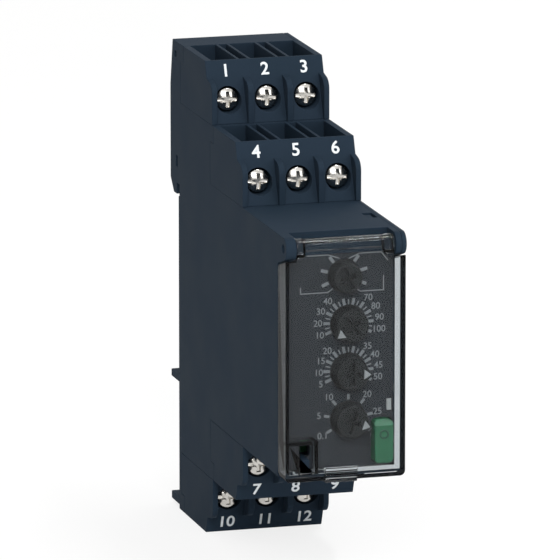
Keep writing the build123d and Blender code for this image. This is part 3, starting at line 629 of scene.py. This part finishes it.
# Opal acrylic: pale grey when the indicator is off, with a smooth face.
opal_acrylic, _ = coated("opal_acrylic", "#8d8f8e", "#989a99", 0.25, scale=1.5, bump_depth=0.001)
finish_piece(pipe, opal_acrylic, "base", "clear_plastic", "light_pipe")

# Foot and its spring
# The foot is a sliding latch of the housing's polyamide that locks behind the rail. A small
# compression spring of round steel wire pushes it up; here the spring stays at rest and does not flatten
# with the foot.
foot = dressed_copy("din_clip", "rail_foot", body_edge)
finish_piece(foot, body_polyamide, "foot", "body_plastic", "din_clip")
spring_top = -26.0
spring_base = -40.0
spring_wire = 0.5
spring_radius = 1.25
spring_turns = 7
spring_y = 2.1
bpy.ops.object.select_all(action="DESELECT")
bpy.ops.mesh.primitive_circle_add(
    vertices=12, radius=spring_wire / 2 * mm, location=(spring_radius * mm, 0, 0), rotation=(pi / 2, 0, 0)
)
spring = bpy.context.object
spring.name = "foot_spring"
spring.data.name = spring.name
bpy.ops.object.transform_apply(location=True, rotation=True, scale=True)
coil = spring.modifiers.new("coil", "SCREW")
coil.screw_offset = (spring_top - spring_base - spring_wire) / spring_turns * mm
coil.iterations = spring_turns
coil.steps = 32
coil.render_steps = 32
bpy.ops.object.modifier_apply(modifier=coil.name)
bpy.ops.object.mode_set(mode="EDIT")
bpy.ops.mesh.select_all(action="SELECT")
bpy.ops.mesh.remove_doubles(threshold=0.001 * mm)
bpy.ops.mesh.select_all(action="DESELECT")
bpy.ops.mesh.select_non_manifold()
bpy.ops.mesh.edge_face_add()
bpy.ops.mesh.select_all(action="SELECT")
bpy.ops.mesh.normals_make_consistent(inside=False)
bpy.ops.transform.translate(value=Vector((0, spring_y, spring_base + spring_wire / 2)) * mm)
bpy.ops.object.mode_set(mode="OBJECT")
bpy.ops.object.shade_smooth_by_angle(angle=radians(40))
finish_piece(spring, zinc_plate, "base", "zinc_steel", "clip_spring")
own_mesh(spring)

# Front cover
# A tray of clear polycarbonate that hinges on two pins in the housing's ears, with a grip and a
# slot for a seal at the bottom. Moulded in a polished mould, so that its faces are glossy.
cover_index = 1.58
cover_polish = 0.015
mirrored_share = 0.2
flow_spacing = 6
clear_cover = dressed_copy("front_cover", "clear_cover", 0.16)
polycarbonate = bpy.data.materials.new("clear_polycarbonate")
polycarbonate.use_nodes = True
tree = polycarbonate.node_tree
glass = tree.nodes["Principled BSDF"]
glass.inputs["Base Color"].default_value = linear("#dcdfe0")
glass.inputs["Transmission Weight"].default_value = 1.0
glass.inputs["IOR"].default_value = cover_index
glass.inputs["Roughness"].default_value = cover_polish
place = add_node(tree, "TexCoord")
# Flow lines of the moulding, about 6 mm apart and almost flat.
flow = add_node(
    tree, "TexNoise", {"Scale": 1 / (flow_spacing * mm), "Detail": 1.0}, {"Vector": (place, "Object")}
)
bump = add_node(tree, "Bump", {"Strength": 0.1, "Distance": 0.005 * mm}, {"Height": (flow, "Fac")})
tree.links.new(bump.outputs["Normal"], glass.inputs["Normal"])
# A polarising filter on the lens takes most of the mirrored white off the clear plastic.
unmirrored = add_node(
    tree,
    "BsdfRefraction",
    {"Color": linear("#eceeef"), "IOR": cover_index, "Roughness": cover_polish},
)
filtered = add_node(tree, "MixShader", {0: mirrored_share}, {1: (unmirrored, "BSDF"), 2: (glass, "BSDF")})
path = add_node(tree, "LightPath")
see_through = add_node(tree, "BsdfTransparent", {"Color": linear("#e8ebeb")})
blend = add_node(
    tree, "MixShader", {}, {0: (path, "Is Shadow Ray"), 1: (filtered, "Shader"), 2: (see_through, "BSDF")}
)
tree.links.new(blend.outputs["Shader"], tree.nodes["Material Output"].inputs["Surface"])
finish_piece(clear_cover, polycarbonate, "cover", "clear_plastic", "front_cover")

# Studio
# A pale floor under the relay, a white surround, three large soft lamps and a strip lamp above.
floor_z = -44.8
surround_light = 0.45
floor_glow = 0.8


def seen_rays(tree):
    """A value of one on the rays that show the background: to the camera, mirrored or through glass."""
    path = add_node(tree, "LightPath")
    direct = add_node(
        tree, "Math", {"operation": "MAXIMUM"}, {0: (path, "Is Camera Ray"), 1: (path, "Is Glossy Ray")}
    )
    return add_node(
        tree, "Math", {"operation": "MAXIMUM"}, {0: (direct, "Value"), 1: (path, "Is Transmission Ray")}
    )


bpy.ops.object.select_all(action="DESELECT")
bpy.ops.mesh.primitive_plane_add(size=6, location=(0, 0, floor_z * mm))
floor = bpy.context.object
floor.name = "studio_floor"
floor_paint = bpy.data.materials.new("pale_floor_paint")
floor_paint.use_nodes = True
tree = floor_paint.node_tree
shader = tree.nodes["Principled BSDF"]
shader.inputs["Roughness"].default_value = 0.7
place = add_node(tree, "TexCoord")
speckle = add_node(tree, "TexNoise", {"Scale": 30.0, "Detail": 3.0}, {"Vector": (place, "Object")})
shade = add_node(tree, "ValToRGB", {}, {"Fac": (speckle, "Fac")})
shade.color_ramp.elements[0].color = linear("#f2f2f1")
shade.color_ramp.elements[1].color = linear("#f7f7f6")
tree.links.new(shade.outputs["Color"], shader.inputs["Base Color"])
glow = add_node(tree, "Emission", {"Color": (1, 1, 1, 1), "Strength": 1.0})
share = add_node(
    tree, "Math", {"operation": "MULTIPLY", 1: floor_glow}, {0: (seen_rays(tree), "Value")}
)
blend = add_node(tree, "MixShader", {}, {0: (share, "Value"), 1: (shader, "BSDF"), 2: (glow, "Emission")})
tree.links.new(blend.outputs["Shader"], tree.nodes["Material Output"].inputs["Surface"])
floor.data.materials.append(floor_paint)

world = bpy.data.worlds.new("studio_white")
bpy.context.scene.world = world
world.use_nodes = True
tree = world.node_tree
surround = tree.nodes["Background"]
surround.inputs["Color"].default_value = (1, 1, 1, 1)
surround.inputs["Strength"].default_value = surround_light
white = add_node(tree, "Background", {"Color": (1, 1, 1, 1), "Strength": 1.0})
blend = add_node(
    tree,
    "MixShader",
    {},
    {0: (seen_rays(tree), "Value"), 1: (surround, "Background"), 2: (white, "Background")},
)
tree.links.new(blend.outputs["Shader"], tree.nodes["World Output"].inputs["Surface"])

for name, place, size, depth, power in (
    ("key_lamp", (-0.35, -1.3, 0.9), 0.7, 0.7, 18),
    ("fill_lamp", (0.9, -1.0, 0.4), 0.9, 0.9, 6),
    ("strip_lamp", (0.38, -0.12, 1.4), 0.8, 0.08, 7),
    ("rear_lamp", (1.1, 0.9, 0.3), 0.9, 0.9, 8),
):
    bpy.ops.object.light_add(type="AREA", location=place)
    lamp = bpy.context.object
    lamp.name = name
    lamp.data.shape = "RECTANGLE"
    lamp.data.size = size
    lamp.data.size_y = depth
    lamp.data.energy = power
    lamp.rotation_euler = (-Vector(place)).to_track_quat("-Z", "Y").to_euler()

bpy.context.scene.view_settings.view_transform = "Standard"
